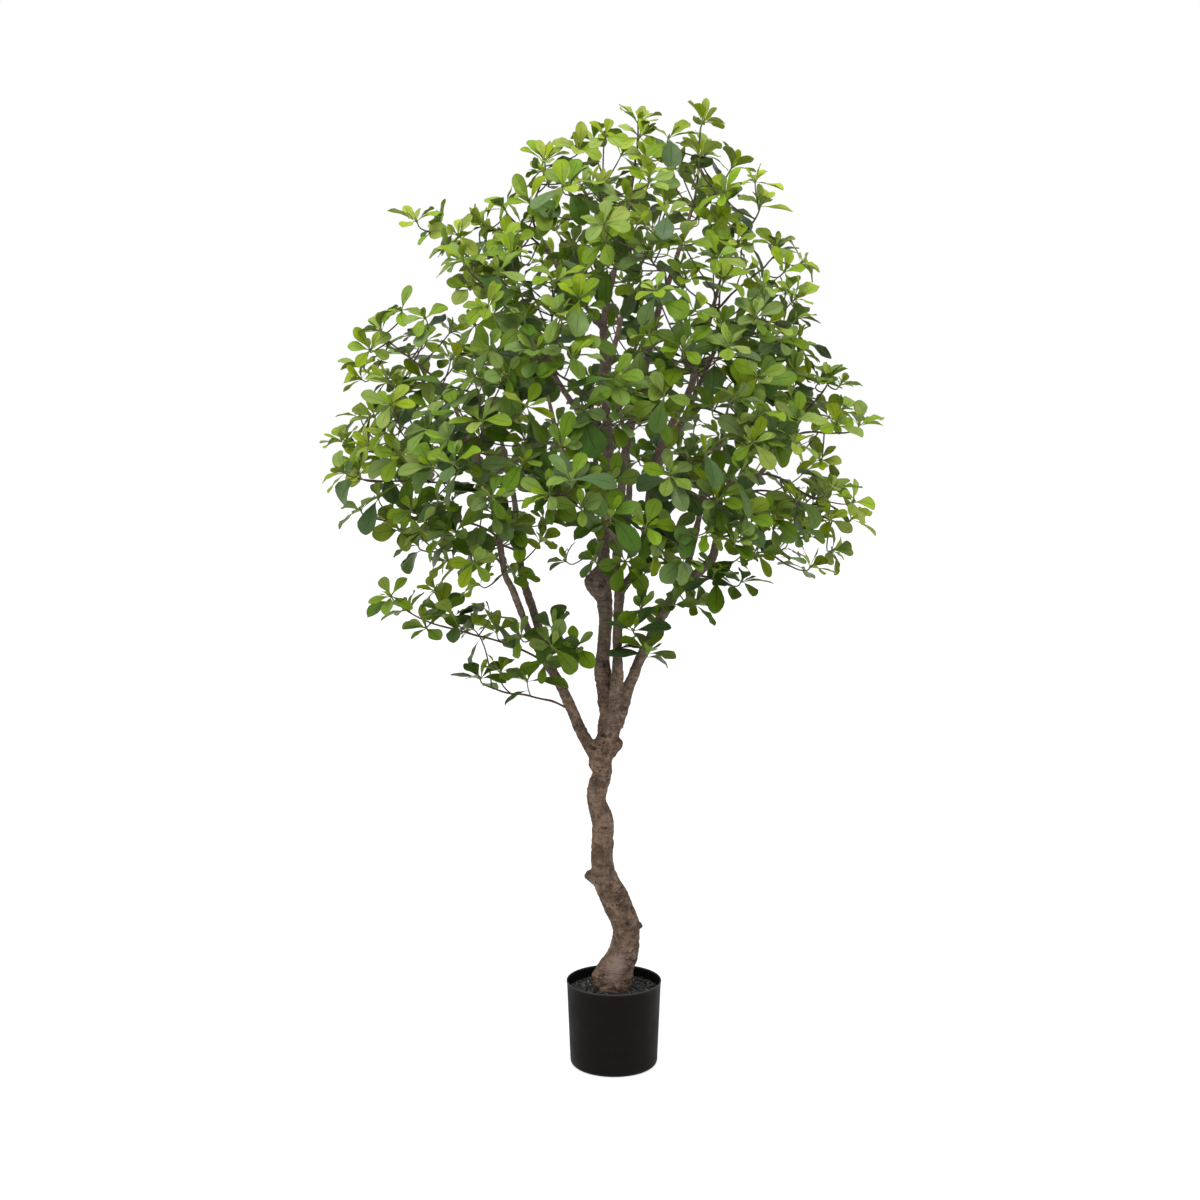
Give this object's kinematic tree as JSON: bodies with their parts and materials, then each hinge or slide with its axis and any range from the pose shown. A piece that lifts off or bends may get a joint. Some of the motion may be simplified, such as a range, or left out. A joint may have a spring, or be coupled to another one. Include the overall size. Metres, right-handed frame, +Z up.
{
  "type": "potted house tree",
  "caption": "Small indoor tree with a gnarled branching trunk and clumps of spoon-shaped leaves, in a black nursery pot of soil.",
  "frame": {"origin": "middle of the pot's flat underside", "axes": "+Z up along the tree; -Y towards the side that the tree shows; +X to the right seen from there"},
  "size_m": [1.0521, 0.8709, 1.7912],
  "materials": {
    "pot": "matt black nursery plastic",
    "soil": "loose dark potting mix",
    "bark": "rough grey-brown bark",
    "leaf": "satin green leaves on thin brown stems"
  },
  "bodies": {
    "root": {"pot": "pot", "soil": "soil", "trunk": "bark", "leafy_stem_01": "leaf", "leafy_stem_02": "leaf", "leafy_stem_03": "leaf", "leafy_stem_04": "leaf", "leafy_stem_05": "leaf", "leafy_stem_06": "leaf", "leafy_stem_07": "leaf", "leafy_stem_08": "leaf", "leafy_stem_09": "leaf", "leafy_stem_10": "leaf", "leafy_stem_11": "leaf", "leafy_stem_12": "leaf", "leafy_stem_13": "leaf", "leafy_stem_14": "leaf", "leafy_stem_15": "leaf", "leafy_stem_16": "leaf", "leafy_stem_17": "leaf", "leafy_stem_18": "leaf", "leafy_stem_19": "leaf", "leafy_stem_20": "leaf", "leafy_stem_21": "leaf", "leafy_stem_22": "leaf", "leafy_stem_23": "leaf", "leafy_stem_24": "leaf", "leafy_stem_25": "leaf", "leafy_stem_26": "leaf", "leafy_stem_27": "leaf", "leafy_stem_28": "leaf", "leafy_stem_29": "leaf", "leafy_stem_30": "leaf", "leafy_stem_31": "leaf", "leafy_stem_32": "leaf", "leafy_stem_33": "leaf", "leafy_stem_34": "leaf", "leafy_stem_35": "leaf", "leafy_stem_36": "leaf", "leafy_stem_37": "leaf", "leafy_stem_38": "leaf", "leafy_stem_39": "leaf", "leafy_stem_40": "leaf", "leafy_stem_41": "leaf", "leafy_stem_42": "leaf", "leafy_stem_43": "leaf", "leafy_stem_44": "leaf", "leafy_stem_45": "leaf", "leafy_stem_46": "leaf", "leafy_stem_47": "leaf", "leafy_stem_48": "leaf", "leafy_stem_49": "leaf", "leafy_stem_50": "leaf", "leafy_stem_51": "leaf"}
  },
  "joints": []
}
